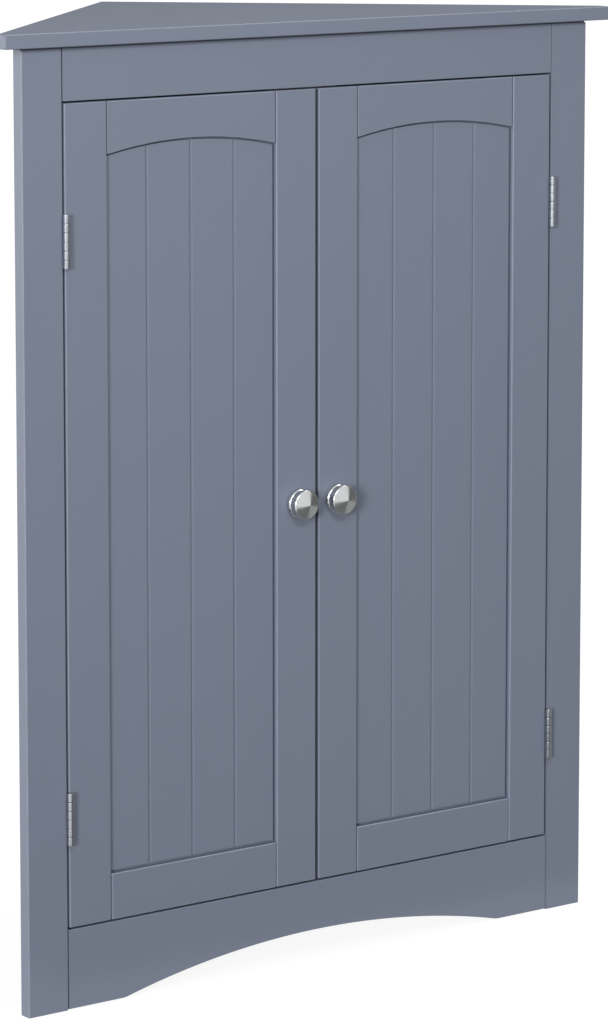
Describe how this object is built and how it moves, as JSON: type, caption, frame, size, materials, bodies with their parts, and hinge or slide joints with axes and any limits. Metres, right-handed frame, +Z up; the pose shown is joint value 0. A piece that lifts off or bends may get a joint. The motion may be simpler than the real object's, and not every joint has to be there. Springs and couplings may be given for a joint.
{
  "type": "corner cabinet",
  "caption": "Triangular floor cabinet for a room corner: face frame, inset doors with arched rails and grooved panels, shelves inside, and a flat top.",
  "frame": {"origin": "on the floor, under the middle of the whole cabinet's outline", "axes": "+X along the face to the viewer's right, +Y from the doors into the room corner, +Z up"},
  "size_m": [0.6434, 0.3432, 0.82],
  "materials": {
    "painted_board": "satin blue-grey paint",
    "brushed_nickel": "brushed nickel",
    "zinc_steel": "zinc-plated",
    "bare_wood": "bare",
    "white_plastic": "matte"
  },
  "bodies": {
    "carcass": {"top_board": "painted_board", "left_frame_stile": "painted_board", "right_frame_stile": "painted_board", "top_frame_rail": "painted_board", "apron": "painted_board", "left_side_panel": "painted_board", "right_side_panel": "painted_board", "bottom_panel": "painted_board", "lower_shelf": "painted_board", "upper_shelf": "painted_board", "shelf_pins": "brushed_nickel", "catch_cleat": "bare_wood", "catch_housing": "white_plastic", "catch_magnets": "zinc_steel", "catch_screws": "zinc_steel", "frame_dowels": "bare_wood", "cam_locks": "zinc_steel", "cam_bolts": "zinc_steel", "corner_screws": "zinc_steel", "left_frame_leaves": "brushed_nickel", "right_frame_leaves": "brushed_nickel", "hinge_pins": "brushed_nickel", "frame_leaf_screws": "brushed_nickel"},
    "left_door": {"left_hinge_stile": "painted_board", "left_lock_stile": "painted_board", "left_arched_rail": "painted_board", "left_bottom_rail": "painted_board", "left_panel": "painted_board", "left_door_leaves": "brushed_nickel", "left_leaf_screws": "brushed_nickel", "left_knob": "brushed_nickel", "left_knob_screw": "zinc_steel", "left_strike_plate": "zinc_steel", "left_strike_screw": "zinc_steel"},
    "right_door": {"right_hinge_stile": "painted_board", "right_lock_stile": "painted_board", "right_arched_rail": "painted_board", "right_bottom_rail": "painted_board", "right_panel": "painted_board", "right_door_leaves": "brushed_nickel", "right_leaf_screws": "brushed_nickel", "right_knob": "brushed_nickel", "right_knob_screw": "zinc_steel", "right_strike_plate": "zinc_steel", "right_strike_screw": "zinc_steel"}
  },
  "joints": [
    {"name": "left_door_hinge", "type": "hinge", "parent": "carcass", "child": "left_door", "pos_m": [-0.2602, -0.15746, 0.416], "axis": [0, 0, -1], "range_deg": [0, 135]},
    {"name": "right_door_hinge", "type": "hinge", "parent": "carcass", "child": "right_door", "pos_m": [0.2602, -0.15746, 0.416], "axis": [0, 0, 1], "range_deg": [0, 135]}
  ]
}
